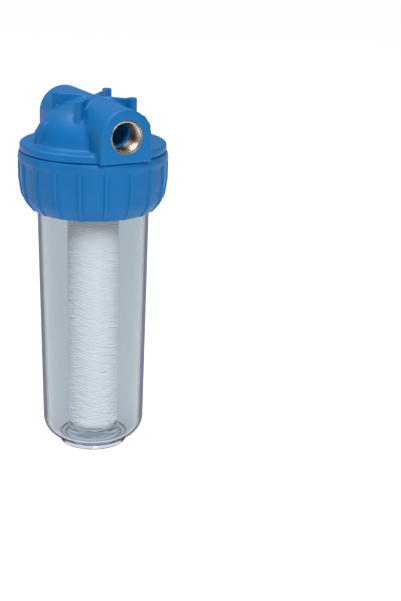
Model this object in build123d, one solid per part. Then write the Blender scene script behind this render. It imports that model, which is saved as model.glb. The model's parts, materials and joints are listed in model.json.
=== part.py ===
from build123d import *
import math
import os

# Cartridge filter housing, three-piece pattern: a moulded head with two threaded ports, a clear
# bowl that holds the cartridge, and a ring nut that screws up the head and clamps the bowl to it.
#
# Millimetres. The origin is the centre of the bowl's foot, on the surface it stands on. +Z is up
# the housing's axis, and the two pipe ports lie along X.

# ---- Driving dimensions ---------------------------------------------------------------------

# Heights up the housing
FLOOR_Z = 8.6  # inside floor of the bowl
FOOT_RECESS_Z = 4.0  # underside of the floor, inside the foot ring
CARTRIDGE_Z = 17.0  # lower end of the cartridge, on the bowl's seat
CARTRIDGE_LENGTH = 248.0  # standard nominal 10 inch cartridge
NUT_Z = 220.0  # lower lip of the ring nut
SHOULDER_Z = 232.8  # face inside the nut that lifts the bowl's flange
BOWL_FLANGE_Z = 233.0
BOWL_FLANGE_TOP_Z = 239.0
SKIRT_Z = 239.2  # lower end of the head's threaded skirt
O_RING_Z = 258.5
BOWL_TOP_Z = 266.3
SKIRT_ROOF_Z = 267.0  # end of the bore that takes the bowl's neck
NUT_TOP_Z = 271.0
HEAD_FLANGE_Z = 271.6
HEAD_FLANGE_TOP_Z = 278.5
PORT_Z = 293.8  # axis of both ports
CROWN_Z = 311.0  # top of the dome
RIB_TOP_Z = 317.8
BOSS_TOP_Z = 318.5

# Bowl
FOOT_R = 30.0
FOOT_LIP = 3.6  # width of the foot ring
FOOT_STEP = (33.2, 6.6)  # radius and height where the foot ring meets the rounded bottom
BOWL_LOW_R = 45.15  # outside, where the wall would meet the floor
BOWL_HIGH_R = 48.9  # outside, just under the flange
BOWL_WALL = 4.0
BOWL_FLANGE_R = 55.2
NECK_R = 52.0
WALL_FOOT_Z = 11.0  # where the wall's outside would meet the floor's
WALL_TOP_Z = 229.0  # where the wall starts to spread into the flange
SEAT_R = 21.0  # knife edge that the cartridge stands on
SEAT_HALF_WIDTH = 2.6
VANE_THICKNESS = 2.4

# O-ring in the bowl's neck
O_RING_SECTION_R = 2.075
GROOVE_DEPTH = 3.9
GROOVE_WIDTH = 5.0

# Cartridge
CORE_BORE_R = 14.0
CORE_WALL = 1.6
SLOT_ROWS = 18
SLOT_WIDTH = 4.0
SLOT_HEIGHT = 7.0
WINDING_R = 23.0

# Head
HEAD_FLANGE_R = 63.5
DOME_FOOT_R = 50.8
DOME_CORNER_R = 34.0  # radius of the dome's shoulder
DOME_TOP_R = 39.5  # where the dome's side would meet its flat top
DOME_WALL = 4.5
CAVITY_R = 46.0
SKIRT_BORE_R = 52.3
SKIRT_R = 56.6
SPIGOT_R = 13.7
WELL_BORE_R = 10.5
WELL_WALL = 4.0
INLET_DUCT_X = 30.0  # where the inlet's bore opens into the dome's cavity
GUSSET_THICKNESS = 4.4
GUSSET_TOP_Z = 297.5
PORT_HALF_LENGTH = 68.4
PORT_R = 23.1
PORT_BLOCK_START = 30.0  # where the block under each port starts, from the axis

# Threaded port inserts
INSERT_R = 14.2
INSERT_LENGTH = 20.0
INSERT_COLLAR_R = 16.4  # across the corners of its two twelve-sided collars
INSERT_COLLAR_WIDTH = 4.5
INSERT_COLLAR_DEPTHS = (8.5, 16.0)  # from the mouth to each collar's far face
INSERT_CHAMFER = 1.4
PORT_THREAD_R = 12.06  # crest radius of the internal G 3/4 thread

# Bosses for the wall bracket's screws
BOSS_R = 4.2
BOSS_X = 26.0
BOSS_Y = 24.5
SCREW_HOLE_R = 1.9
SCREW_HOLE_DEPTH = 13.0
RIB_THICKNESS = 3.6

# Ring nut
NUT_R = 65.0
NUT_RIM_R = 65.2
NUT_LIP_R = 54.4
NUT_BULGE = (62.8, 230.0)  # radius and height where the lower taper ends
NUT_BARREL_Z = 246.0
NUT_BORE_R = 49.7
NUT_RIBS = 18
NUT_RIB_WIDTH = 4.2
NUT_PANEL_DEPTH = 1.5
NUT_PANEL_TOP_Z = 264.5
NUT_FIRST_RIB_DEG = -13.7

# Thread between the head and the ring nut
PITCH = 6.0
HEAD_CREST_R = 58.2
NUT_CREST_R = 57.0
NUT_ROOT_R = 58.6
HEAD_THREAD_WIDTHS = (3.2, 1.6)  # at the root and at the crest
NUT_THREAD_WIDTHS = (4.3, 2.7)
HEAD_THREAD_Z = 243.5
HEAD_THREAD_TURNS = 3.75
NUT_THREAD_TURNS = 3.25


# ---- Helpers --------------------------------------------------------------------------------


def turned(*corners):
    """A solid of revolution about Z. A corner is (radius, height) or (radius, height, fillet)."""
    points = [corner[:2] for corner in corners]
    fillets = [corner[2] if len(corner) > 2 else 0 for corner in corners]
    outline = FilletPolyline(*points, radius=fillets, close=True)
    return revolve(make_face(Plane.XZ * outline), Axis.Z)


def rod(radius, low, high):
    """An upright cylinder on the axis between two heights."""
    return Pos(0, 0, low) * extrude(Circle(radius), high - low)


def rod_along_x(radius, start, end):
    """A cylinder on the ports' axis between two places along X."""
    return Pos(start, 0, PORT_Z) * (Plane.YZ * extrude(Circle(radius), end - start))


def thread_ridge(root_r, crest_r, widths, start_z, turns, start_deg=0.0):
    """A helical ridge of trapezoidal section, from root_r to crest_r."""
    sink = math.copysign(0.3, crest_r - root_r)
    slope = (widths[0] - widths[1]) / abs(crest_r - root_r)
    base = widths[0] + slope * abs(sink)
    section = Polyline(
        (root_r - sink, -base / 2),
        (crest_r, -widths[1] / 2),
        (crest_r, widths[1] / 2),
        (root_r - sink, base / 2),
        close=True,
    )
    path = Helix(pitch=PITCH, height=PITCH * turns, radius=root_r)
    ridge = sweep(make_face(Plane.XZ * section), path=path, is_frenet=True)
    return Pos(0, 0, start_z) * (Rot(0, 0, start_deg) * ridge)


# ---- Bowl -----------------------------------------------------------------------------------


def bowl_shell():
    inner_low_r = BOWL_LOW_R - BOWL_WALL
    inner_high_r = BOWL_HIGH_R - BOWL_WALL
    return turned(
        (0, FOOT_RECESS_Z),
        (FOOT_R - FOOT_LIP - 0.8, FOOT_RECESS_Z, 1.5),
        (FOOT_R - FOOT_LIP, 0, 0.6),
        (FOOT_R, 0, 0.9),
        (FOOT_R + 0.9, 5.6, 0.8),
        FOOT_STEP,
        (BOWL_LOW_R, WALL_FOOT_Z, 18.2),
        (BOWL_HIGH_R, WALL_TOP_Z, 3.0),
        (BOWL_HIGH_R + 0.4, BOWL_FLANGE_Z, 0.8),
        (BOWL_FLANGE_R, BOWL_FLANGE_Z, 0.6),
        (BOWL_FLANGE_R, BOWL_FLANGE_TOP_Z, 0.6),
        (NECK_R, BOWL_FLANGE_TOP_Z, 0.5),
        (NECK_R, BOWL_TOP_Z, 1.2),
        (inner_high_r, BOWL_TOP_Z, 0.8),
        (inner_high_r, WALL_TOP_Z),
        (inner_low_r, 12.4, 14.0),
        (29.5, FLOOR_Z, 6.0),
        (0, FLOOR_Z),
    )


def bowl_seat():
    """Ring with a knife edge, fused to the floor, that the cartridge's lower end stands on."""
    return turned(
        (SEAT_R - SEAT_HALF_WIDTH, FLOOR_Z - 1),
        (SEAT_R - 1.4, CARTRIDGE_Z - 1.6),
        (SEAT_R, CARTRIDGE_Z),
        (SEAT_R + 1.4, CARTRIDGE_Z - 1.6),
        (SEAT_R + SEAT_HALF_WIDTH, FLOOR_Z - 1),
    )


def bowl_spigot():
    """Cross of four vanes that centres the cartridge's core on the floor."""
    envelope = turned(
        (0, FLOOR_Z - 1),
        (SPIGOT_R, FLOOR_Z - 1),
        (SPIGOT_R, CARTRIDGE_Z + 6),
        (SPIGOT_R - 4, CARTRIDGE_Z + 11, 2),
        (0, CARTRIDGE_Z + 11),
    )
    vane = Pos(0, 0, CARTRIDGE_Z) * Box(60, VANE_THICKNESS, 60)
    return (vane + Rot(0, 0, 90) * vane) & envelope


def o_ring_groove():
    low, high = O_RING_Z - GROOVE_WIDTH / 2, O_RING_Z + GROOVE_WIDTH / 2
    outside = NECK_R + 1
    bottom = NECK_R - GROOVE_DEPTH
    return turned((bottom, low, 0.4), (outside, low), (outside, high), (bottom, high, 0.4))


def make_bowl():
    return bowl_shell() + bowl_seat() + bowl_spigot() - o_ring_groove()


def make_bowl_o_ring():
    centre_r = NECK_R - GROOVE_DEPTH + O_RING_SECTION_R
    section = Plane.XZ * Pos(centre_r, O_RING_Z) * Circle(O_RING_SECTION_R)
    return revolve(section, Axis.Z)


# ---- Cartridge ------------------------------------------------------------------------------


def make_cartridge_core():
    """Tube with rows of slots, which let the water through into its bore."""
    tube = rod(CORE_BORE_R + CORE_WALL, CARTRIDGE_Z, CARTRIDGE_Z + CARTRIDGE_LENGTH)
    tube -= rod(CORE_BORE_R, CARTRIDGE_Z, CARTRIDGE_Z + CARTRIDGE_LENGTH)
    slot = Box(40, SLOT_WIDTH, SLOT_HEIGHT)
    spacing = (CARTRIDGE_LENGTH - 20) / SLOT_ROWS
    slots = []
    for row in range(SLOT_ROWS):
        height = CARTRIDGE_Z + 10 + (row + 0.5) * spacing
        turn = 30 * (row % 2)
        slots += [Pos(0, 0, height) * Rot(0, 0, turn + 60 * step) * slot for step in range(3)]
    return tube - slots


def make_cartridge_winding():
    """The wound yarn as one plain sleeve with slightly rounded ends."""
    inner_r = CORE_BORE_R + CORE_WALL
    top = CARTRIDGE_Z + CARTRIDGE_LENGTH
    return turned(
        (inner_r, CARTRIDGE_Z),
        (WINDING_R, CARTRIDGE_Z, 1.5),
        (WINDING_R, top, 1.5),
        (inner_r, top),
    )


# ---- Threaded port inserts ------------------------------------------------------------------


def insert_envelope():
    """Outside of the insert at the +X port: a rim, two twelve-sided collars and a groove."""
    end = PORT_HALF_LENGTH
    body = rod_along_x(INSERT_R, end - INSERT_LENGTH, end)
    collar = Plane.YZ * extrude(RegularPolygon(INSERT_COLLAR_R, 12), INSERT_COLLAR_WIDTH)
    for depth in INSERT_COLLAR_DEPTHS:
        body += Pos(end - depth, 0, PORT_Z) * collar
    return body


def make_insert(turn_deg):
    """Brass insert, bored to its thread's crest, with a chamfered mouth."""
    end = PORT_HALF_LENGTH
    bore = rod_along_x(PORT_THREAD_R, end - INSERT_LENGTH - 1, end + 1)
    cone = Cone(PORT_THREAD_R, PORT_THREAD_R + INSERT_CHAMFER, INSERT_CHAMFER)
    mouth = Pos(end + 0.1 - INSERT_CHAMFER / 2, 0, PORT_Z) * (Plane.YZ * cone)
    return Rot(0, 0, turn_deg) * (insert_envelope() - bore - mouth)


# ---- Head -----------------------------------------------------------------------------------


def dome_and_flange():
    return turned(
        (0, SKIRT_ROOF_Z),
        (SKIRT_R, SKIRT_ROOF_Z),
        (SKIRT_R, HEAD_FLANGE_Z),
        (HEAD_FLANGE_R, HEAD_FLANGE_Z, 0.5),
        (HEAD_FLANGE_R, HEAD_FLANGE_TOP_Z, 2.4),
        (DOME_FOOT_R, HEAD_FLANGE_TOP_Z, 2.0),
        (DOME_TOP_R, CROWN_Z, DOME_CORNER_R),
        (0, CROWN_Z),
    )


def head_skirt():
    """Wall that goes down round the bowl's neck and carries the thread outside."""
    return turned(
        (SKIRT_BORE_R + 1.0, SKIRT_Z),
        (SKIRT_R, SKIRT_Z, 0.6),
        (SKIRT_R, SKIRT_ROOF_Z + 1),
        (SKIRT_BORE_R, SKIRT_ROOF_Z + 1),
        (SKIRT_BORE_R, SKIRT_Z + 2.0),
    )


def port_block(turn_deg):
    """Round port on a flat-sided block that stands on the flange, with a rounded rim."""
    drop = PORT_Z - HEAD_FLANGE_Z
    lower_half = Pos(0, PORT_Z - drop / 2) * Rectangle(2 * PORT_R, drop)
    below_flange = Pos(0, HEAD_FLANGE_Z - PORT_R) * Rectangle(4 * PORT_R, 2 * PORT_R)
    arch = Pos(0, PORT_Z) * Circle(PORT_R) + lower_half - below_flange
    block = extrude(Plane.YZ.offset(PORT_BLOCK_START) * arch, PORT_HALF_LENGTH - PORT_BLOCK_START)
    rim = block.faces().sort_by(Axis.X)[-1].edges()
    return Rot(0, 0, turn_deg) * fillet(rim, 2.2)


def top_ribs_and_bosses():
    """Four screw bosses for the wall bracket, joined by an X of ribs through the middle."""
    reach = math.hypot(BOSS_X, BOSS_Y)
    angle = math.degrees(math.atan2(BOSS_Y, BOSS_X))
    low = CROWN_Z - 22
    rib = Pos(0, 0, (low + RIB_TOP_Z) / 2) * Box(2 * reach, RIB_THICKNESS, RIB_TOP_Z - low)
    cross = Rot(0, 0, angle) * rib + Rot(0, 0, -angle) * rib
    for x in (-BOSS_X, BOSS_X):
        for y in (-BOSS_Y, BOSS_Y):
            cross += Pos(x, y, 0) * rod(BOSS_R, low, BOSS_TOP_Z)
    return cross


def foot_gussets():
    """A short upright web on each side of the dome, across from the ports."""
    web = Polyline(
        (40, HEAD_FLANGE_TOP_Z - 1),
        (53.6, HEAD_FLANGE_TOP_Z - 1),
        (54.6, GUSSET_TOP_Z - 9),
        (48.6, GUSSET_TOP_Z),
        (40, GUSSET_TOP_Z),
        close=True,
    )
    gusset = Pos(0, GUSSET_THICKNESS / 2, 0) * extrude(make_face(Plane.XZ * web), GUSSET_THICKNESS)
    return Rot(0, 0, 90) * gusset + Rot(0, 0, -90) * gusset


def head_cavity():
    """Space round the central well, where the water comes down to the outside of the cartridge."""
    return turned(
        (0, SKIRT_ROOF_Z - 1),
        (CAVITY_R, SKIRT_ROOF_Z - 1),
        (CAVITY_R, HEAD_FLANGE_TOP_Z, 3.0),
        (DOME_TOP_R - 2.9, CROWN_Z - DOME_WALL, DOME_CORNER_R - 5),
        (0, CROWN_Z - DOME_WALL),
    )


def central_well():
    """Tube down the middle with the seat plate for the cartridge and the spigot inside its core."""
    top = CARTRIDGE_Z + CARTRIDGE_LENGTH
    return turned(
        (0, CROWN_Z - 1),
        (WELL_BORE_R + WELL_WALL, CROWN_Z - 1),
        (WELL_BORE_R + WELL_WALL, top + 6, 1.5),
        (WINDING_R, top + 5, 1.0),
        (WINDING_R, top + 2.4),
        (SEAT_R + 1.5, top + 2.4),
        (SEAT_R, top + 0.2),
        (SEAT_R - 1.5, top + 2.4),
        (SPIGOT_R, top + 2.4),
        (SPIGOT_R, top - 7),
        (SPIGOT_R - 1.2, top - 9),
        (0, top - 9),
    )


def screw_holes():
    hole = rod(SCREW_HOLE_R, BOSS_TOP_Z - SCREW_HOLE_DEPTH, BOSS_TOP_Z + 1)
    return [Pos(x, y, 0) * hole for x in (-BOSS_X, BOSS_X) for y in (-BOSS_Y, BOSS_Y)]


def make_head():
    pocket_end = PORT_HALF_LENGTH - INSERT_LENGTH
    head = dome_and_flange() + port_block(0) + port_block(180)
    head += rod_along_x(PORT_R, -PORT_BLOCK_START - 1, PORT_BLOCK_START + 1)
    head += top_ribs_and_bosses() + foot_gussets() + head_skirt()
    head -= head_cavity()
    head += central_well()
    head += rod_along_x(WELL_BORE_R + WELL_WALL, -pocket_end, 0)
    head -= rod(WELL_BORE_R, CARTRIDGE_Z + CARTRIDGE_LENGTH - 10, PORT_Z)
    head -= rod_along_x(WELL_BORE_R, -pocket_end - 1, 0)
    head -= rod_along_x(WELL_BORE_R, INLET_DUCT_X, pocket_end + 1)
    head -= insert_envelope()
    head -= Rot(0, 0, 180) * insert_envelope()
    head -= screw_holes()
    head += thread_ridge(SKIRT_R, HEAD_CREST_R, HEAD_THREAD_WIDTHS, HEAD_THREAD_Z, HEAD_THREAD_TURNS)
    return head


# ---- Ring nut -------------------------------------------------------------------------------


def nut_outline(inset):
    """Outside corners of the ring nut from its lip up to its barrel, drawn in by an inset."""
    return [
        (NUT_LIP_R - inset / 2, NUT_Z, 0.7),
        (NUT_BULGE[0] - inset, NUT_BULGE[1], 16.0),
        (NUT_R - inset, NUT_BARREL_Z, 20.0),
    ]


def nut_blank():
    flange_clearance = 0.5
    return turned(
        *nut_outline(0),
        (NUT_RIM_R, NUT_TOP_Z, 1.0),
        (NUT_ROOT_R, NUT_TOP_Z, 0.5),
        (NUT_ROOT_R, SHOULDER_Z + 8.2),
        (BOWL_FLANGE_R + flange_clearance, SHOULDER_Z + 3.7),
        (BOWL_FLANGE_R + flange_clearance, SHOULDER_Z),
        (NUT_BORE_R + 0.5, SHOULDER_Z),
        (NUT_BORE_R, SHOULDER_Z - 3),
        (NUT_BORE_R, NUT_Z, 0.6),
    )


def nut_panels():
    """Recesses between the ribs: the outer skin below the rim, less the ribs' own slices."""
    clear = 6.0  # how far the cutting shape reaches outside the nut
    outside = turned(
        (NUT_LIP_R - clear / 2, NUT_Z - clear / 2),
        (NUT_R + clear, NUT_Z - clear / 2),
        (NUT_R + clear, NUT_PANEL_TOP_Z + 1),
        (NUT_RIM_R, NUT_PANEL_TOP_Z + 0.2),
        (NUT_R - NUT_PANEL_DEPTH, NUT_PANEL_TOP_Z - 3.6, 3.0),
        *reversed(nut_outline(NUT_PANEL_DEPTH)),
    )
    height = NUT_TOP_Z - NUT_Z
    rib = Pos(NUT_R, 0, NUT_Z + height / 2) * Box(30, NUT_RIB_WIDTH, height + 4 * clear)
    step = 360 / NUT_RIBS
    ribs = [Rot(0, 0, NUT_FIRST_RIB_DEG + step * index) * rib for index in range(NUT_RIBS)]
    return outside - ribs


def make_ring_nut():
    nut = nut_blank() - nut_panels()
    start_z = HEAD_THREAD_Z + PITCH / 2
    ridge = thread_ridge(NUT_ROOT_R, NUT_CREST_R, NUT_THREAD_WIDTHS, start_z, NUT_THREAD_TURNS)
    return nut + ridge


# ---- Files ----------------------------------------------------------------------------------

PARTS = {
    "head": make_head,
    "inlet_insert": lambda: make_insert(0),
    "outlet_insert": lambda: make_insert(180),
    "ring_nut": make_ring_nut,
    "bowl": make_bowl,
    "bowl_o_ring": make_bowl_o_ring,
    "cartridge_core": make_cartridge_core,
    "cartridge_winding": make_cartridge_winding,
}

os.makedirs("parts", exist_ok=True)
for name, make in PARTS.items():
    export_step(make(), f"parts/{name}.step")
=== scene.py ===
import json
import math

import bmesh
import bpy
import numpy as np
from mathutils import Matrix, Vector


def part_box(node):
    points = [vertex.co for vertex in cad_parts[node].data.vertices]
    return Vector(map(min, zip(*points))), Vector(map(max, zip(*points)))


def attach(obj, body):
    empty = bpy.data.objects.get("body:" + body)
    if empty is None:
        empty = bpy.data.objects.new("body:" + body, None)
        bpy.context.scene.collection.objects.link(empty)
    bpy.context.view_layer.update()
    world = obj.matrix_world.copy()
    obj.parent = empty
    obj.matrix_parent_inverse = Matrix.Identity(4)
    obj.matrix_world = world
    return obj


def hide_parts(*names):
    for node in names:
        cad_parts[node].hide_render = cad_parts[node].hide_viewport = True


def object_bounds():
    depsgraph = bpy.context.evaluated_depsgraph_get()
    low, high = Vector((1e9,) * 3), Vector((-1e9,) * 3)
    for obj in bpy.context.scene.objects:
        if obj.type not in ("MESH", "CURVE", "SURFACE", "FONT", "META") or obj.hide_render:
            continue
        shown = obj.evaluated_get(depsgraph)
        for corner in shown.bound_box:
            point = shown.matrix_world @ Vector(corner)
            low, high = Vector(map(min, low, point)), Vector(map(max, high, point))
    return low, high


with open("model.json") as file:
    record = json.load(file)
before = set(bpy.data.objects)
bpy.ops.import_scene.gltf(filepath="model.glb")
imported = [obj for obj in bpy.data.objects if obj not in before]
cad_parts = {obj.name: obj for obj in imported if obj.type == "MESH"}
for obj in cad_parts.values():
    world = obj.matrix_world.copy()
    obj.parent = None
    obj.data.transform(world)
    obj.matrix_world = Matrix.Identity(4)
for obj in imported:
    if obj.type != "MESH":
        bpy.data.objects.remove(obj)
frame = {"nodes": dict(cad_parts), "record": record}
cad_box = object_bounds()
nodes = frame["nodes"]

# ---- Places and sizes, in millimetres --------------------------------------------------------
# Most come from the frame. The rest repeat the design's own sizes where a piece is made again
# here with more detail than its solid has.

MM = 0.001
AXIS_R = 0.01  # radius at which a turned surface that meets the axis ends


def box_mm(node):
    """A node's lowest and highest corners at rest, in millimetres."""
    low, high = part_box(node)
    return Vector(low) / MM, Vector(high) / MM


HEAD_LOW, HEAD_HIGH = box_mm("head")
NUT_LOW, NUT_HIGH = box_mm("ring_nut")
BOWL_LOW, BOWL_HIGH = box_mm("bowl")
WINDING_LOW, WINDING_HIGH = box_mm("cartridge_winding")
CORE_LOW, CORE_HIGH = box_mm("cartridge_core")
INLET_LOW, INLET_HIGH = box_mm("inlet_insert")

CARTRIDGE_Z = WINDING_LOW.z
CARTRIDGE_TOP_Z = WINDING_HIGH.z
PORT_Z = (INLET_LOW.z + INLET_HIGH.z) / 2
PORT_END = INLET_HIGH.x
INSERT_LENGTH = INLET_HIGH.x - INLET_LOW.x

# Bowl
BOWL_WALL = 4.0
BOWL_FLOOR_Z = 8.6
FOOT_R = 30.0
FOOT_LIP = 3.6
FOOT_RECESS_Z = 4.0
FOOT_STEP = (33.2, 6.6)  # radius and height where the foot ring meets the rounded bottom
WALL_FOOT_Z = 11.0  # where the wall's outside would meet the floor's
WALL_TOP_Z = 229.0
BOWL_LOW_R = 45.15
BOWL_HIGH_R = 48.9
BOWL_FLANGE_R = BOWL_HIGH.x
BOWL_FLANGE_Z = (233.0, 239.0)
NECK_R = 52.0
O_RING_GROOVE_Z = (256.0, 261.0)
O_RING_GROOVE_R = 48.1
SEAT_R = 21.0
SEAT_HALF_WIDTH = 2.6
SEAT_TIP_HEIGHT = 1.6
SEAT_TIP_HALF_WIDTH = 1.4
SPIGOT_R = 13.7
VANE_THICKNESS = 2.4
BOWL_SEGMENTS = 180
CLEAR_Z = 32.0  # the plastic is thick and darker below this

# Ring nut
NUT_RIM_R = NUT_HIGH.x
NUT_R = NUT_RIM_R - 0.2
NUT_LIP_R = 54.4
NUT_BULGE = (62.8, 230.0)  # radius and height where the lower taper ends
NUT_BARREL_Z = 246.0
NUT_RIBS = 18
NUT_FIRST_RIB_DEG = -13.7
NUT_RIB_WIDTH = 4.2
NUT_PANEL_DEPTH = 1.5
NUT_PANEL_TOP_Z = NUT_HIGH.z - 6.5
NUT_SHOULDER_Z = 232.8
NUT_BORE_R = 49.7
NUT_ROOT_R = 58.6
NUT_CREST_R = 57.0
NUT_THREAD = {"start": 246.5, "pitch": 6.0, "turns": 3.25, "base": 4.3, "crest": 2.7}

# Port thread, G 3/4
PORT_CREST_R = 12.06
PORT_ROOT_R = 13.22
PORT_PITCH = 1.814
INSERT_R = 14.2
INSERT_COLLAR_R = 16.4
INSERT_COLLARS = ((11.5, 16.0), (4.0, 8.5))  # from the mouth to each collar's faces

# Head
FLANGE_TOP_Z = HEAD_HIGH.z - 40.0
CROWN_Z = HEAD_HIGH.z - 7.5
CAVITY_R = 46.0  # at the flange
CAVITY_LEAN = 9.4 / 28.0  # how much the cavity narrows as it rises
BOSS_X = 26.0
BOSS_Y = 24.5

# ---- Camera ----------------------------------------------------------------------------------

CAMERA_DISTANCE = 1.156  # along the floor, from the housing's axis
CAMERA_HEIGHT = 0.513
CAMERA_AZIMUTH = math.radians(66.27)  # 0 looks along +Y
CAMERA_PITCH = math.radians(18.2)
CAMERA_PAN = math.radians(4.54)  # about the camera's own up axis, to the right
LENS_MM = 80.9


def add_camera():
    """Looks down at the housing and pans past it, so that it stands left of the middle."""
    away = Vector((-math.sin(CAMERA_AZIMUTH), math.cos(CAMERA_AZIMUTH), 0))
    right = Vector((away.y, -away.x, 0))
    up = Vector((0, 0, 1))
    forward = away * math.cos(CAMERA_PITCH) - up * math.sin(CAMERA_PITCH)
    camera_up = away * math.sin(CAMERA_PITCH) + up * math.cos(CAMERA_PITCH)
    look = forward * math.cos(CAMERA_PAN) + right * math.sin(CAMERA_PAN)
    side = right * math.cos(CAMERA_PAN) - forward * math.sin(CAMERA_PAN)
    data = bpy.data.cameras.new("camera")
    data.lens = LENS_MM
    data.sensor_width = 36
    camera = bpy.data.objects.new("camera", data)
    place = -away * CAMERA_DISTANCE + up * CAMERA_HEIGHT
    turn = Matrix((side, camera_up, -look)).transposed()
    camera.matrix_world = Matrix.Translation(place) @ turn.to_4x4()
    bpy.context.scene.collection.objects.link(camera)
    bpy.context.scene.camera = camera


# ---- Mesh helpers ----------------------------------------------------------------------------


def add_piece(name, vertices_mm, faces, made, body, slot, replaced=(), sharp_deg=40):
    """A smooth-shaded piece from points in millimetres. It rides on a body."""
    mesh = bpy.data.meshes.new(name)
    mesh.from_pydata((np.asarray(vertices_mm) * MM).tolist(), [], faces)
    mesh.shade_smooth()
    mesh.set_sharp_from_angle(angle=math.radians(sharp_deg))
    mesh.materials.append(made)
    piece = bpy.data.objects.new(name, mesh)
    bpy.context.scene.collection.objects.link(piece)
    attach(piece, body)
    if replaced:
        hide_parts(*replaced)
    return piece


def grid_faces(rows, columns, closed_rows, first=0):
    """Quads of a grid whose columns go all the way round."""
    faces = []
    for row in range(rows if closed_rows else rows - 1):
        low = first + row * columns
        high = first + (row + 1) % rows * columns
        for column in range(columns):
            after = (column + 1) % columns
            faces.append((low + column, low + after, high + after, high + column))
    return faces


def rounded(corners, closed=True, steps=7):
    """Points of an outline whose corners are (x, y) or (x, y, fillet radius)."""
    points = []
    count = len(corners)
    for index, corner in enumerate(corners):
        here = Vector(corner[:2])
        radius = corner[2] if len(corner) > 2 else 0
        if radius == 0 or not closed and index in (0, count - 1):
            points.append(here)
            continue
        before = (Vector(corners[index - 1][:2]) - here).normalized()
        after = (Vector(corners[(index + 1) % count][:2]) - here).normalized()
        half = before.angle(after) / 2
        centre = here + (before + after).normalized() * (radius / math.sin(half))
        first = here + before * (radius / math.tan(half)) - centre
        last = here + after * (radius / math.tan(half)) - centre
        sweep = math.pi - 2 * half
        for step in range(steps + 1):
            share = step / steps
            blend = first * math.sin((1 - share) * sweep) + last * math.sin(share * sweep)
            points.append(centre + blend / math.sin(sweep))
    return points


def subdivided(points, longest, closed=False):
    """Adds points so that no stretch is longer than a limit."""
    finer = []
    stops = points[1:] + (points[:1] if closed else [])
    for here, there in zip(points, stops):
        parts = max(1, math.ceil((there - here).length / longest))
        finer += [here.lerp(there, part / parts) for part in range(parts)]
    return finer if closed else finer + [points[-1]]


def turned(name, outline, segments, *rest, **options):
    """A closed outline of (radius, height) points turned about Z."""
    outline = np.array([tuple(point) for point in outline])
    angles = np.linspace(0, 2 * np.pi, segments, endpoint=False)
    radius, height = outline[:, :1], outline[:, 1:]
    points = np.stack(
        [radius * np.cos(angles), radius * np.sin(angles), height * np.ones(segments)], axis=-1
    )
    faces = grid_faces(len(outline), segments, True)
    return add_piece(name, points.reshape(-1, 3), faces, *rest, **options)


def ramp(value, start, end):
    """0 before start, 1 after end, smooth between."""
    share = np.clip((value - start) / (end - start), 0, 1)
    return share * share * (3 - 2 * share)


def thread_height(angle, height, thread, full):
    """Height of a helical ridge at angles and heights: 0 off the ridge, full on its crest."""
    turn = angle / (2 * np.pi)
    place = (height - thread["start"]) / thread["pitch"] - turn
    nearest = np.round(place)
    off = np.abs(place - nearest) * thread["pitch"]
    along = turn + nearest
    ends = ramp(along, -0.02, 0.03) * (1 - ramp(along, thread["turns"] - 0.03, thread["turns"] + 0.02))
    flank = (thread["base"] - thread["crest"]) / 2
    return full * np.clip((thread["base"] / 2 - off) / flank, 0, 1) * ends


# ---- Materials -------------------------------------------------------------------------------


def link(tree, source, target):
    tree.links.new(source, target)


def material(name, color, roughness, **sockets):
    """A Principled material. Extra sockets are given by name, with _ for spaces."""
    made = bpy.data.materials.new(name)
    made.use_nodes = True
    shader = made.node_tree.nodes["Principled BSDF"]
    shader.inputs["Base Color"].default_value = (*color, 1)
    shader.inputs["Roughness"].default_value = roughness
    for socket, value in sockets.items():
        shader.inputs[socket.replace("_", " ")].default_value = value
    return made, made.node_tree, shader


def noise(tree, scale, detail=2.0, stretch=None):
    """Noise in the object's own coordinates. stretch scales them along X, Y and Z."""
    coordinates = tree.nodes.new("ShaderNodeTexCoord").outputs["Object"]
    if stretch:
        mapping = tree.nodes.new("ShaderNodeMapping")
        mapping.inputs["Scale"].default_value = stretch
        link(tree, coordinates, mapping.inputs["Vector"])
        coordinates = mapping.outputs["Vector"]
    texture = tree.nodes.new("ShaderNodeTexNoise")
    texture.inputs["Scale"].default_value = scale
    texture.inputs["Detail"].default_value = detail
    link(tree, coordinates, texture.inputs["Vector"])
    return texture.outputs["Fac"]


def coordinate(tree, axis):
    """One of the object's own coordinates, in metres."""
    split = tree.nodes.new("ShaderNodeSeparateXYZ")
    link(tree, tree.nodes.new("ShaderNodeTexCoord").outputs["Object"], split.inputs["Vector"])
    return split.outputs[axis]


def absolute(tree, value):
    node = tree.nodes.new("ShaderNodeMath")
    node.operation = "ABSOLUTE"
    link(tree, value, node.inputs[0])
    return node.outputs["Value"]


def spread(tree, value, low, high, start=0.3, end=0.7):
    """Maps a texture's value onto low..high."""
    node = tree.nodes.new("ShaderNodeMapRange")
    node.inputs["From Min"].default_value = start
    node.inputs["From Max"].default_value = end
    node.inputs["To Min"].default_value = low
    node.inputs["To Max"].default_value = high
    link(tree, value, node.inputs["Value"])
    return node.outputs["Result"]


def blend_colors(tree, factor, first, second):
    """A mix of two colours. The second may be another node's output."""
    node = tree.nodes.new("ShaderNodeMix")
    node.data_type = "RGBA"
    node.inputs["A"].default_value = (*first, 1)
    if isinstance(second, tuple):
        node.inputs["B"].default_value = (*second, 1)
    else:
        link(tree, second, node.inputs["B"])
    link(tree, factor, node.inputs["Factor"])
    return node.outputs["Result"]


def bump(tree, height, strength, distance, onto=None):
    node = tree.nodes.new("ShaderNodeBump")
    node.inputs["Strength"].default_value = strength
    node.inputs["Distance"].default_value = distance
    link(tree, height, node.inputs["Height"])
    if onto is not None:
        link(tree, onto, node.inputs["Normal"])
    return node.outputs["Normal"]


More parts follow.
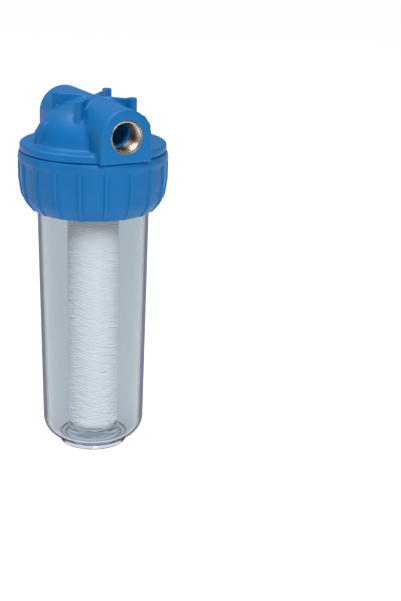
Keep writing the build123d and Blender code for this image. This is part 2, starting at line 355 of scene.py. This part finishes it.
def blue_plastic():
    """Satin moulded polypropylene: faint flow marks, a fine grain and a slightly uneven gloss."""
    made, tree, shader = material("blue_plastic", (0.002, 0.122, 0.345), 0.44, Specular_IOR_Level=0.20)
    flow = noise(tree, 26, 3, (1, 1, 0.35))
    color = blend_colors(tree, spread(tree, flow, 0, 1), (0.001, 0.116, 0.325), (0.002, 0.132, 0.370))
    link(tree, color, shader.inputs["Base Color"])
    link(tree, spread(tree, noise(tree, 60, 4), 0.36, 0.50), shader.inputs["Roughness"])
    grain = bump(tree, noise(tree, 2600, 2), 0.10, 0.0001)
    wave = bump(tree, noise(tree, 45, 2), 0.25, 0.0004, grain)
    link(tree, wave, shader.inputs["Normal"])
    return made


def clear_plastic(name, painted_rim):
    """Clear moulded plastic with a blue-grey tint, darker in the thick base. Lamps shine through it.

    The outer faces have a painted dark rim where they are seen edge on: painted shade that stands in for
    the darkness a thick clear wall shows there.
    """
    tint = (0.550, 0.600, 0.635)
    base_tint = (0.52, 0.56, 0.64)
    made, tree, shader = material(name, tint, 0.02, IOR=1.5)
    above_base = spread(tree, coordinate(tree, "Z"), 0, 1, BOWL_LOW.z * MM, CLEAR_Z * MM)
    link(tree, blend_colors(tree, above_base, base_tint, tint), shader.inputs["Base Color"])
    shader.inputs["Transmission Weight"].default_value = 1.0
    link(tree, bump(tree, noise(tree, 14, 2, (1, 1, 0.3)), 0.10, 0.002), shader.inputs["Normal"])
    surface = shader.outputs["BSDF"]
    if painted_rim:
        # Painted shade: faces seen edge on turn into a dark grey-blue see-through shader.
        facing = tree.nodes.new("ShaderNodeLayerWeight").outputs["Facing"]
        edge = tree.nodes.new("ShaderNodeBsdfTransparent")
        edge.inputs["Color"].default_value = (0.33, 0.36, 0.43, 1)
        painted_rim_mix = tree.nodes.new("ShaderNodeMixShader")
        link(tree, spread(tree, facing, 0, 0.92, 0.56, 0.70), painted_rim_mix.inputs["Fac"])
        link(tree, surface, painted_rim_mix.inputs[1])
        link(tree, edge.outputs["BSDF"], painted_rim_mix.inputs[2])
        surface = painted_rim_mix.outputs["Shader"]
    path = tree.nodes.new("ShaderNodeLightPath")
    through = tree.nodes.new("ShaderNodeBsdfTransparent")
    through.inputs["Color"].default_value = (0.95, 0.96, 0.96, 1)
    mix = tree.nodes.new("ShaderNodeMixShader")
    link(tree, path.outputs["Is Shadow Ray"], mix.inputs["Fac"])
    link(tree, surface, mix.inputs[1])
    link(tree, through.outputs["BSDF"], mix.inputs[2])
    link(tree, mix.outputs["Shader"], tree.nodes["Material Output"].inputs["Surface"])
    return made


def brass():
    """Turned brass with fine rings from the tool, bright at the mouth and darkened by painted shade
    deeper into the bore.
    """
    made, tree, shader = material("brass", (0.53, 0.45, 0.34), 0.28, Metallic=1.0)
    tarnish = noise(tree, 180, 4)
    color = blend_colors(tree, spread(tree, tarnish, 0, 1), (0.64, 0.57, 0.46), (0.50, 0.42, 0.31))
    # Painted shade: the colour fades to a near-black brown deeper into the bore, where less light
    # reaches.
    mouth = absolute(tree, coordinate(tree, "X"))
    painted_shade_fade = spread(tree, mouth, 0, 1, (PORT_END - 11) * MM, (PORT_END - 2) * MM)
    color = blend_colors(tree, painted_shade_fade, (0.075, 0.062, 0.05), color)
    link(tree, color, shader.inputs["Base Color"])
    link(tree, spread(tree, noise(tree, 240, 3), 0.24, 0.32), shader.inputs["Roughness"])
    link(tree, bump(tree, noise(tree, 700, 2, (6, 1, 1)), 0.04, 0.00005), shader.inputs["Normal"])
    return made


def rubber():
    made, tree, shader = material("rubber", (0.018, 0.018, 0.019), 0.5)
    link(tree, spread(tree, noise(tree, 300, 3), 0.35, 0.6), shader.inputs["Roughness"])
    link(tree, bump(tree, noise(tree, 3000, 2), 0.2, 0.0001), shader.inputs["Normal"])
    return made


def core_plastic():
    made, tree, shader = material("core_plastic", (0.82, 0.83, 0.84), 0.5)
    color = blend_colors(tree, noise(tree, 80, 3), (0.78, 0.80, 0.82), (0.88, 0.88, 0.87))
    link(tree, color, shader.inputs["Base Color"])
    link(tree, bump(tree, noise(tree, 1800, 2), 0.15, 0.0001), shader.inputs["Normal"])
    return made


def yarn():
    """Soft white wound yarn: fine fibres and a slightly uneven white."""
    made, tree, shader = material("yarn", (0.84, 0.87, 0.89), 0.85, Sheen_Weight=0.3)
    color = blend_colors(tree, noise(tree, 160, 4), (0.87, 0.875, 0.88), (0.96, 0.955, 0.95))
    link(tree, color, shader.inputs["Base Color"])
    fibres = bump(tree, noise(tree, 2400, 4, (1, 1, 4)), 0.6, 0.0004)
    link(tree, bump(tree, noise(tree, 500, 3, (1, 1, 2)), 0.4, 0.0006, fibres), shader.inputs["Normal"])
    return made


def assign(obj, made):
    obj.data.materials.clear()
    obj.data.materials.append(made)


# ---- Stage -----------------------------------------------------------------------------------


def stage_material(name, color, glow=0.0):
    made, tree, shader = material(name, color, 0.9)
    tone = blend_colors(tree, noise(tree, 3, 2), color, tuple(0.985 * c for c in color))
    link(tree, tone, shader.inputs["Base Color"])
    shader.inputs["Emission Color"].default_value = (1, 1, 1, 1)
    shader.inputs["Emission Strength"].default_value = glow
    return made


def add_plane(name, corners, made):
    mesh = bpy.data.meshes.new(name)
    mesh.from_pydata(corners, [], [(0, 1, 2, 3)])
    plane = bpy.data.objects.new(name, mesh)
    bpy.context.scene.collection.objects.link(plane)
    assign(plane, made)
    return plane


def add_floor():
    """The floor lies just below the bowl at the end of its travel, where it hangs lowest."""
    joints = frame["record"]["behaviour"]["joints"]
    travel = max(joint["range_m"][1] for joint in joints if joint["type"] == "slide")
    low = cad_box[0][2] - travel - 0.001
    reach = 6.0
    corners = [(x * reach, y * reach, low) for x, y in ((-1, -1), (1, -1), (1, 1), (-1, 1))]
    add_plane("floor", corners, stage_material("floor", (0.30, 0.30, 0.30), 0.86))


def area_light(name, place, aim, size, watts, color=(1, 1, 1)):
    data = bpy.data.lights.new(name, "AREA")
    data.shape = "DISK"
    data.size = size
    data.energy = watts
    data.color = color
    light = bpy.data.objects.new(name, data)
    light.location = place
    light.rotation_euler = (Vector(aim) - Vector(place)).to_track_quat("-Z", "Y").to_euler()
    bpy.context.scene.collection.objects.link(light)


def add_world():
    """Plain white to the camera, and a softer grey light on the housing."""
    world = bpy.data.worlds.new("studio")
    world.use_nodes = True
    tree = world.node_tree
    ambient = tree.nodes["Background"]
    ambient.inputs["Color"].default_value = (0.96, 0.98, 1.0, 1)
    ambient.inputs["Strength"].default_value = 0.32
    white = tree.nodes.new("ShaderNodeBackground")
    white.inputs["Strength"].default_value = 1.05
    path = tree.nodes.new("ShaderNodeLightPath")
    mix = tree.nodes.new("ShaderNodeMixShader")
    link(tree, path.outputs["Is Camera Ray"], mix.inputs["Fac"])
    link(tree, ambient.outputs["Background"], mix.inputs[1])
    link(tree, white.outputs["Background"], mix.inputs[2])
    link(tree, mix.outputs["Shader"], tree.nodes["World Output"].inputs["Surface"])
    bpy.context.scene.world = world


def add_lights():
    add_world()
    middle = (0, 0, 0.2)
    area_light("key", (1.62, -0.40, 1.28), middle, 0.8, 26)
    area_light("top", (-0.4, -0.3, 2.0), middle, 1.2, 29)
    bpy.context.scene.view_settings.view_transform = "Standard"


# ---- Bowl ------------------------------------------------------------------------------------


def add_bowl(made, inside):
    """The shell with its foot ring, seat, flange, neck and O-ring groove, and the spigot's vanes."""
    inner_low_r, inner_high_r = BOWL_LOW_R - BOWL_WALL, BOWL_HIGH_R - BOWL_WALL
    low, high = O_RING_GROOVE_Z
    tip_z = CARTRIDGE_Z - SEAT_TIP_HEIGHT
    outline = rounded(
        [
            (AXIS_R, FOOT_RECESS_Z),
            (FOOT_R - FOOT_LIP - 0.8, FOOT_RECESS_Z, 1.5),
            (FOOT_R - FOOT_LIP, BOWL_LOW.z, 0.6),
            (FOOT_R, BOWL_LOW.z, 0.9),
            (FOOT_R + 0.9, FOOT_STEP[1] - 1.0, 0.8),
            FOOT_STEP,
            (BOWL_LOW_R, WALL_FOOT_Z, 18.2),
            (BOWL_HIGH_R, WALL_TOP_Z, 3.0),
            (BOWL_HIGH_R + 0.4, BOWL_FLANGE_Z[0], 0.8),
            (BOWL_FLANGE_R, BOWL_FLANGE_Z[0], 0.6),
            (BOWL_FLANGE_R, BOWL_FLANGE_Z[1], 0.6),
            (NECK_R, BOWL_FLANGE_Z[1], 0.5),
            (NECK_R, low, 0.3),
            (O_RING_GROOVE_R, low, 0.4),
            (O_RING_GROOVE_R, high, 0.4),
            (NECK_R, high, 0.3),
            (NECK_R, BOWL_HIGH.z, 1.2),
            (inner_high_r, BOWL_HIGH.z, 0.8),
            (inner_high_r, WALL_TOP_Z),
            (inner_low_r, WALL_FOOT_Z + 1.4, 14.0),
            (FOOT_R - 0.5, BOWL_FLOOR_Z, 6.0),
            (SEAT_R + SEAT_HALF_WIDTH - 0.6, BOWL_FLOOR_Z),
            (SEAT_R + SEAT_TIP_HALF_WIDTH, tip_z),
            (SEAT_R, CARTRIDGE_Z, 0.3),
            (SEAT_R - SEAT_TIP_HALF_WIDTH, tip_z),
            (SEAT_R - SEAT_HALF_WIDTH + 0.6, BOWL_FLOOR_Z),
            (AXIS_R, BOWL_FLOOR_Z),
        ],
        steps=9,
    )
    shell = turned(
        "bowl_shell", outline, BOWL_SEGMENTS, made, "bowl_body", "clear_plastic", replaced=["bowl"]
    )
    shell.data.materials.append(inside)
    top_row = next(row for row, point in enumerate(outline) if point.y > BOWL_HIGH.z - 0.01)
    rows = np.arange(len(shell.data.polygons)) // BOWL_SEGMENTS
    shell.data.polygons.foreach_set("material_index", (rows > top_row).astype(np.int32))
    add_spigot_vanes(inside)


def add_spigot_vanes(made):
    """Cross of vanes on the bowl's floor that centres the cartridge's core."""
    half, taper = VANE_THICKNESS / 2, 0.35
    low, high = BOWL_FLOOR_Z + 0.05, CARTRIDGE_Z + 11
    rows = [
        (low, SPIGOT_R),
        (CARTRIDGE_Z + 6, SPIGOT_R),
        (high - 1.5, SPIGOT_R - 3.2),
        (high, SPIGOT_R - 5),
    ]
    vertices, faces = [], []
    for height, reach in rows:
        thick = half - taper * (height - low) / (high - low)
        for quarter in range(4):
            turn = Matrix.Rotation(math.pi / 2 * quarter, 2)
            corners = [(thick, thick), (reach, thick), (reach, -thick)]
            vertices += [(*(turn @ Vector(corner)), height) for corner in corners]
    loop = [3 * quarter + place for quarter in (0, 3, 2, 1) for place in (0, 1, 2)]
    ring = len(loop)
    for row in range(len(rows) - 1):
        for here, there in zip(loop, loop[1:] + loop[:1]):
            base = row * ring
            faces.append((base + here, base + ring + here, base + ring + there, base + there))
    top = (len(rows) - 1) * ring
    faces.append(tuple(loop))
    faces.append(tuple(top + place for place in reversed(loop)))
    add_piece("bowl_spigot", vertices, faces, made, "bowl_body", "clear_plastic", sharp_deg=30)


# ---- Cartridge -------------------------------------------------------------------------------

WINDING_BANDS = 4
STRANDS_PER_BAND = 3
STRAND_PITCH_MM = 32.0  # wanted height of one turn; the real one closes the pattern exactly
STRAND_SPACING = 0.298  # between the strands of a band, as a share of the bands' spacing
STRAND_POINTS = 680
STRAND_HALF_WIDTH = 1.27
STRAND_HALF_DEPTH = 0.98
STRAND_RING_R = 21.35  # mean radius of a strand's centre line
STRAND_END_GAP = 1.6  # from the cartridge's end to the last turn's centre line
CROSSING_RISE = 0.5  # how far a strand lifts or dips where it crosses another
SLEEVE_R = 20.9  # outside of the solid inner winding
SLEEVE_SEGMENTS = 96


def strand_path(start_turn, phases):
    """Centre line of one strand, up the cartridge and back, as angles, heights and radii."""
    low, high = CARTRIDGE_Z + STRAND_END_GAP, CARTRIDGE_TOP_Z - STRAND_END_GAP
    length = high - low
    passes = round(2 * WINDING_BANDS * length / STRAND_PITCH_MM)
    pitch = 2 * WINDING_BANDS * length / passes
    travel = np.linspace(0, 2 * length, STRAND_POINTS)
    turn = start_turn + travel / pitch
    edge = 1.8  # the turn back at each end is rounded over this height
    rise = length - np.sqrt((travel - length) ** 2 + edge**2) + edge
    bottom = np.sqrt(rise**2 + edge**2) - edge / 2
    height = low + np.clip(bottom, 0, length)
    height = height + 0.25 * np.sin(5.3 * turn * 2 + phases[0]) * np.clip(rise / 8, 0, 1)
    climb = (height - low) / pitch
    first = WINDING_BANDS * (turn - climb)
    second = WINDING_BANDS * (turn + climb)
    going_up = travel < length
    across = np.where(going_up, second, first)
    along = np.where(going_up, first, second)
    side = np.where(np.round(along) % 2 == 0, 1, -1) * np.where(going_up, 1, -1)
    over = np.cos(np.pi * across) * side
    near_end = np.minimum(height - low, high - height)
    drop = 1.1 * np.exp(-near_end / STRAND_END_GAP)
    radius = STRAND_RING_R + CROSSING_RISE * over - drop + 0.12 * np.sin(9.1 * turn + phases[1])
    return 2 * np.pi * turn, height, radius


def strand_tube(angle, height, radius, phases, first_vertex):
    """A slightly flattened tube of yarn round a centre line."""
    sides = 8
    centre = np.stack([radius * np.cos(angle), radius * np.sin(angle), height], axis=-1)
    tangent = np.gradient(centre, axis=0)
    tangent /= np.linalg.norm(tangent, axis=1, keepdims=True)
    outward = np.stack([np.cos(angle), np.sin(angle), 0 * angle], axis=-1)
    outward -= tangent * np.sum(outward * tangent, axis=1, keepdims=True)
    outward /= np.linalg.norm(outward, axis=1, keepdims=True)
    sideways = np.cross(tangent, outward)
    swell = 1 + 0.07 * np.sin(7.7 * angle + phases[2]) + 0.05 * np.sin(18.1 * angle + phases[3])
    rings = []
    for side in range(sides):
        around = 2 * np.pi * side / sides
        width = STRAND_HALF_WIDTH * swell * math.sin(around)
        depth = STRAND_HALF_DEPTH * swell * math.cos(around)
        rings.append(centre + sideways * width[:, None] + outward * depth[:, None])
    points = np.stack(rings, axis=1).reshape(-1, 3)
    faces = grid_faces(len(centre), sides, False, first_vertex)
    last = first_vertex + (len(centre) - 1) * sides
    faces.append(tuple(range(first_vertex + sides - 1, first_vertex - 1, -1)))
    faces.append(tuple(range(last, last + sides)))
    return points, faces


def add_winding(made):
    """Yarn crossed over and under itself in bands, on a solid inner winding."""
    draw = np.random.default_rng(11)
    points, faces = [], []
    total = 0
    for band in range(WINDING_BANDS):
        for strand in range(STRANDS_PER_BAND):
            offset = (strand - (STRANDS_PER_BAND - 1) / 2) * STRAND_SPACING
            phases = draw.uniform(0, 2 * np.pi, 4)
            path = strand_path((band + offset) / WINDING_BANDS, phases)
            tube, quads = strand_tube(*path, phases, total)
            points.append(tube)
            faces += quads
            total += len(tube)
    core_r = CORE_HIGH.x + 0.02
    inner = rounded(
        [
            (core_r, CARTRIDGE_Z + 0.3),
            (SLEEVE_R, CARTRIDGE_Z + 0.3, 1.5),
            (SLEEVE_R, CARTRIDGE_TOP_Z - 0.3, 1.5),
            (core_r, CARTRIDGE_TOP_Z - 0.3),
        ]
    )
    angles = np.linspace(0, 2 * np.pi, SLEEVE_SEGMENTS, endpoint=False)
    sleeve = [(r * math.cos(a), r * math.sin(a), z) for r, z in inner for a in angles]
    points.append(np.array(sleeve))
    faces += grid_faces(len(inner), SLEEVE_SEGMENTS, True, total)
    vertices = np.concatenate(points)
    replaced = ["cartridge_winding"]
    add_piece("wound_yarn", vertices, faces, made, "bowl_body", "yarn", replaced, sharp_deg=60)


# ---- Ring nut --------------------------------------------------------------------------------


def rib_angles():
    """Columns round the nut, closer together at the flanks of the ribs."""
    offsets = [0, 0.8, 1.3, 1.5, 1.7, 1.9, 2.1, 2.3, 2.6, 3.2, 4.5, 6.2, 8]
    offsets = sorted([-offset for offset in offsets[1:]] + offsets + [10])
    step = 360 / NUT_RIBS
    degrees = [NUT_FIRST_RIB_DEG + step * rib + offset for rib in range(NUT_RIBS) for offset in offsets]
    return np.radians(sorted(angle % 360 for angle in degrees))


def add_ring_nut(made):
    """Narrow rounded ribs between shallow panels, with the inner shoulder and thread."""
    outer = rounded(
        [
            (NUT_BORE_R + 0.9, NUT_LOW.z),
            (NUT_LIP_R, NUT_LOW.z, 0.9),
            (*NUT_BULGE, 16.0),
            (NUT_R, NUT_BARREL_Z, 20.0),
            (NUT_RIM_R, NUT_HIGH.z - 4.5, 6.0),
            (NUT_RIM_R - 1.0, NUT_HIGH.z, 1.6),
            (NUT_ROOT_R + 0.8, NUT_HIGH.z),
        ],
        closed=False,
        steps=10,
    )
    inner = rounded(
        [
            (NUT_ROOT_R + 0.8, NUT_HIGH.z),
            (NUT_ROOT_R, NUT_HIGH.z - 0.8),
            (NUT_ROOT_R, NUT_SHOULDER_Z + 8.2),
            (BOWL_FLANGE_R + 0.5, NUT_SHOULDER_Z + 3.7),
            (BOWL_FLANGE_R + 0.5, NUT_SHOULDER_Z),
            (NUT_BORE_R + 0.5, NUT_SHOULDER_Z),
            (NUT_BORE_R, NUT_SHOULDER_Z - 3),
            (NUT_BORE_R, NUT_LOW.z + 0.9),
            (NUT_BORE_R + 0.9, NUT_LOW.z),
        ],
        closed=False,
    )
    outer = np.array([tuple(p) for p in subdivided(outer, 0.8)])
    inner = np.array([tuple(p) for p in subdivided(inner, 0.5)])[1:-1]
    angle = rib_angles()[None, :]
    step = 2 * np.pi / NUT_RIBS
    from_rib = np.abs((angle - math.radians(NUT_FIRST_RIB_DEG) + step / 2) % step - step / 2) * NUT_R
    panel = ramp(from_rib, NUT_RIB_WIDTH / 2 - 0.45, NUT_RIB_WIDTH / 2 + 0.5)
    crown = 0.18 * np.clip(from_rib / (NUT_RIB_WIDTH / 2), 0, 1) ** 2
    height = outer[:, 1:]
    corner_dip = 0.9 * ramp(from_rib, step * NUT_R * 0.30, step * NUT_R * 0.12)
    panel_end = ramp(height, NUT_PANEL_TOP_Z - 3.6 - corner_dip, NUT_PANEL_TOP_Z + 0.2)
    depth = NUT_PANEL_DEPTH * (1 - panel_end)
    depth = depth * (0.75 + 0.25 * ramp(height, NUT_LOW.z, NUT_LOW.z + 9))
    below_rim = 1 - ramp(height, NUT_PANEL_TOP_Z - 2, NUT_PANEL_TOP_Z + 1)
    outer_radius = outer[:, :1] - depth * panel - crown * below_rim * (outer[:, :1] > NUT_ROOT_R)
    outer_radius = np.maximum(outer_radius, np.minimum(outer[:, :1], NUT_BORE_R + 0.9))
    ridge = thread_height(angle, inner[:, 1:], NUT_THREAD, NUT_ROOT_R - NUT_CREST_R)
    on_root = np.isclose(inner[:, :1], NUT_ROOT_R, atol=0.01)
    inner_radius = inner[:, :1] - ridge * on_root
    radius = np.concatenate([outer_radius, inner_radius])
    heights = np.concatenate([outer[:, 1:], inner[:, 1:]]) + 0 * angle
    points = np.stack([radius * np.cos(angle), radius * np.sin(angle), heights], axis=-1)
    faces = grid_faces(len(radius), angle.shape[1], True)
    add_piece(
        "ring_nut_ribbed", points.reshape(-1, 3), faces, made, "nut_body", "blue_plastic", ["ring_nut"]
    )


# ---- Port inserts ----------------------------------------------------------------------------


def add_insert(name, node, side, made):
    """Insert with real G 3/4 turns inside and two twelve-sided collars outside."""
    bore_rows = subdivided([Vector((0, 1.4)), Vector((0, INSERT_LENGTH))], 0.16)
    bore = np.array([point.y for point in bore_rows])
    columns = 120
    angle = np.linspace(0, 2 * np.pi, columns, endpoint=False)[None, :]
    depth = bore[:, None] + 0 * angle
    phase = (depth / PORT_PITCH - side * angle / (2 * np.pi)) % 1
    wave = np.clip(0.5 + 0.62 * np.cos(2 * np.pi * phase), 0, 1)
    fade = ramp(depth, 0.8, 2.2)
    bore_r = PORT_ROOT_R - (PORT_ROOT_R - PORT_CREST_R) * wave * fade
    around = np.ones((1, columns))
    mouth = [
        (INSERT_R - 0.25, 0.0),
        (PORT_ROOT_R + 0.62, 0.0),
        (PORT_ROOT_R + 0.12, 0.6),
        (PORT_ROOT_R, 1.0),
    ]
    mouth_r = np.array([r for r, _ in mouth])[:, None] * around
    mouth_d = np.array([d for _, d in mouth])[:, None] * around
    twelfth = np.pi / 6
    collar_r = INSERT_COLLAR_R * np.cos(twelfth / 2) / np.cos(angle % twelfth - twelfth / 2)
    outside = [(INSERT_LENGTH, False)]
    for near, far in INSERT_COLLARS:
        outside += [(far, False), (far, True), (near, True), (near, False)]
    outside.append((0.25, False))
    outside_r = np.stack([(collar_r if is_collar else INSERT_R * around)[0] for _, is_collar in outside])
    outside_d = np.array([d for d, _ in outside])[:, None] * around
    radius = np.concatenate([mouth_r, bore_r, outside_r])
    depths = np.concatenate([mouth_d, depth, outside_d])
    x = side * (PORT_END - depths)
    y = side * radius * np.cos(angle)
    z = PORT_Z + radius * np.sin(angle)
    points = np.stack([x, y, z], axis=-1).reshape(-1, 3)
    faces = grid_faces(len(radius), columns, True)
    add_piece(name, points, faces, made, "head_body", "brass", [node], sharp_deg=50)


# ---- Head ------------------------------------------------------------------------------------

VOXEL_MM = 0.8
BLEND_ROUNDS = 36  # rounds of smoothing that fill the hollow corners
EASE_ROUNDS = 3  # rounds that take the hard edge off everything outside
INSIDE_ROUNDS = 2  # rounds that only smooth the remeshed steps off everything else
DOME_HALF_WALL = 2.4  # about half the dome's wall, measured level
CROWN_HALF_WALL = 2.2
POCKET_R = 17.5  # round the pocket that holds an insert, and where it starts
POCKET_START_X = 37.0
DUCT_R = 12.5  # round the duct behind it


def remeshed(node, voxel_mm):
    """A copy of a CAD node's mesh as even quads."""
    source = bmesh.new()
    source.from_mesh(nodes[node].data)
    bmesh.ops.remove_doubles(source, verts=source.verts, dist=2e-6)
    mesh = bpy.data.meshes.new("remesh")
    source.to_mesh(mesh)
    source.free()
    holder = bpy.data.objects.new("remesh", mesh)
    bpy.context.scene.collection.objects.link(holder)
    modifier = holder.modifiers.new("remesh", "REMESH")
    modifier.mode = "VOXEL"
    modifier.voxel_size = voxel_mm * MM
    ready = holder.evaluated_get(bpy.context.evaluated_depsgraph_get())
    result = bpy.data.meshes.new_from_object(ready)
    bpy.data.objects.remove(holder)
    return result


def head_skin(points):
    """1 on the head's outer skin above the flange, 0 inside it, on the port faces and in holes."""
    x, y, z = points.T
    from_axis = np.hypot(x, y)
    from_port = np.hypot(y, z - PORT_Z)
    cavity_r = CAVITY_R - CAVITY_LEAN * (z - FLANGE_TOP_Z)
    skin = (from_axis > cavity_r + DOME_HALF_WALL) | (z > CROWN_Z - CROWN_HALF_WALL)
    pocket = (from_port < POCKET_R) & (np.abs(x) > POCKET_START_X)
    duct = from_port < DUCT_R
    port_face = np.abs(x) >= PORT_END - 1.2
    below = z <= FLANGE_TOP_Z - 0.6
    screw_hole = np.hypot(np.abs(x) - BOSS_X, np.abs(y) - BOSS_Y) < 3.0
    return (skin & ~(pocket | duct | port_face | below | screw_hole)).astype(float)


def soften(mesh):
    """Fills hollow corners on the outer skin with soft blends, and eases its edges."""
    count = len(mesh.vertices)
    flat = np.empty(count * 3)
    mesh.vertices.foreach_get("co", flat)
    points = flat.reshape(-1, 3) / MM
    ends = np.empty(len(mesh.edges) * 2, dtype=np.int32)
    mesh.edges.foreach_get("vertices", ends)
    first, second = ends[0::2], ends[1::2]
    both, other = np.concatenate([first, second]), np.concatenate([second, first])
    degree = np.bincount(both, minlength=count)[:, None]
    mask = head_skin(points)
    for _ in range(2):
        mask = np.bincount(both, weights=mask[other], minlength=count) / degree[:, 0]
    mask = (mask * head_skin(points))[:, None]
    normals = np.empty(count * 3)
    for turn in range(BLEND_ROUNDS):
        if turn % 6 == 0:
            mesh.vertices.foreach_set("co", (points * MM).ravel())
            mesh.update()
            mesh.vertex_normals.foreach_get("vector", normals)
            normal = normals.reshape(-1, 3)
        sums = [np.bincount(both, weights=points[other, axis], minlength=count) for axis in range(3)]
        move = np.stack(sums, axis=1) / degree - points
        outward = np.sum(move * normal, axis=1, keepdims=True)
        skin_move = move if turn < EASE_ROUNDS else normal * np.maximum(outward, 0)
        inside_move = 0.25 * move * (turn < INSIDE_ROUNDS)
        points = points + 0.6 * (mask * skin_move + (1 - mask) * inside_move)
    return points


def add_head(made):
    mesh = remeshed("head", VOXEL_MM)
    points = soften(mesh)
    faces = [tuple(polygon.vertices) for polygon in mesh.polygons]
    add_piece("head_shell", points, faces, made, "head_body", "blue_plastic", ["head"], sharp_deg=50)


# ---- Build -----------------------------------------------------------------------------------

add_camera()
add_lights()
add_floor()

BLUE = blue_plastic()
BRASS = brass()
add_head(BLUE)
add_insert("inlet_insert_threaded", "inlet_insert", 1, BRASS)
add_insert("outlet_insert_threaded", "outlet_insert", -1, BRASS)
add_ring_nut(BLUE)
add_bowl(clear_plastic("clear_plastic", True), clear_plastic("clear_plastic_inside", False))
add_winding(yarn())
assign(nodes["bowl_o_ring"], rubber())
assign(nodes["cartridge_core"], core_plastic())
